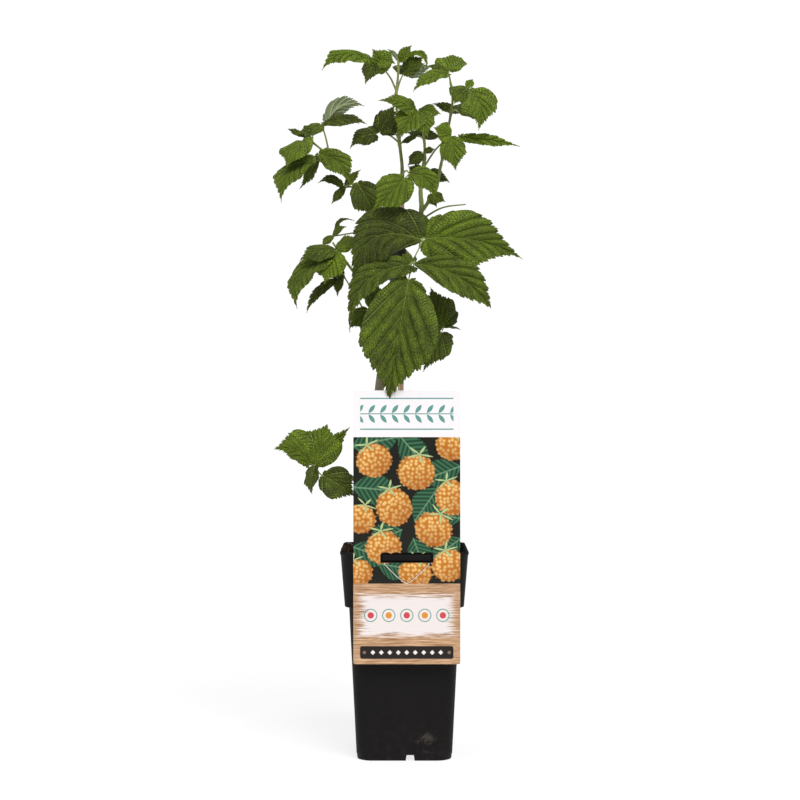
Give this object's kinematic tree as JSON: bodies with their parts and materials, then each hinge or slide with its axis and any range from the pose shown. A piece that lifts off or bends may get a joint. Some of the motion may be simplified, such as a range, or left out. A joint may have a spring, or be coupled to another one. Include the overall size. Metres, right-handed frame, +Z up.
{
  "type": "potted raspberry plant",
  "caption": "Young raspberry plant with toothed compound leaves on green shoots, tied to a bamboo stake in a tall square black nursery pot, with a picture card hung on the rim.",
  "frame": {"origin": "centre of the pot's flat underside", "axes": "+Z up along the pot's axis, -Y the front, where the card hangs, +X to the right of the card"},
  "size_m": [0.2425, 0.1831, 0.6932],
  "materials": {
    "leaf": "matte",
    "green_stem": "matte",
    "cane_bark": "matte",
    "bamboo": "satin",
    "tie_plastic": "satin",
    "compost": "matte",
    "pot_plastic": "satin",
    "card": "satin"
  },
  "bodies": {
    "root": {"cane": "cane_bark", "leader": "green_stem", "shoot_middle": "green_stem", "shoot_right": "green_stem", "shoot_upper_left": "green_stem", "shoot_mid_left": "green_stem", "shoot_low": "green_stem", "leaf_front_large": "leaf", "leaf_front_right_low": "leaf", "leaf_front_left_low": "leaf", "leaf_mid_left_wide": "leaf", "leaf_mid_left_low": "leaf", "leaf_mid_left_young": "leaf", "leaf_upper_left_wide": "leaf", "leaf_upper_left_pale": "leaf", "leaf_upper_left_tip": "leaf", "leaf_upper_left_twig": "leaf", "leaf_centre": "leaf", "leaf_centre_behind": "leaf", "leaf_right_small": "leaf", "leaf_right_long": "leaf", "leaf_top_right_wide": "leaf", "leaf_top_right_upper": "leaf", "leaf_top_centre": "leaf", "leaf_upper_dark": "leaf", "leaf_centre_dark": "leaf", "leaf_centre_low_dark": "leaf", "leaf_top_left": "leaf", "leaf_top_behind": "leaf", "leaf_shoot_tip": "leaf", "leaf_ground_left": "leaf", "leaf_back_top": "leaf", "leaf_back_right": "leaf", "leaf_back_left": "leaf", "leaf_back_middle": "leaf", "leaf_back_low": "leaf", "bare_leaf_stalk": "green_stem", "bamboo_stake": "bamboo", "stake_tie": "tie_plastic", "compost": "compost", "pot": "pot_plastic", "picture_card": "card"}
  },
  "joints": []
}
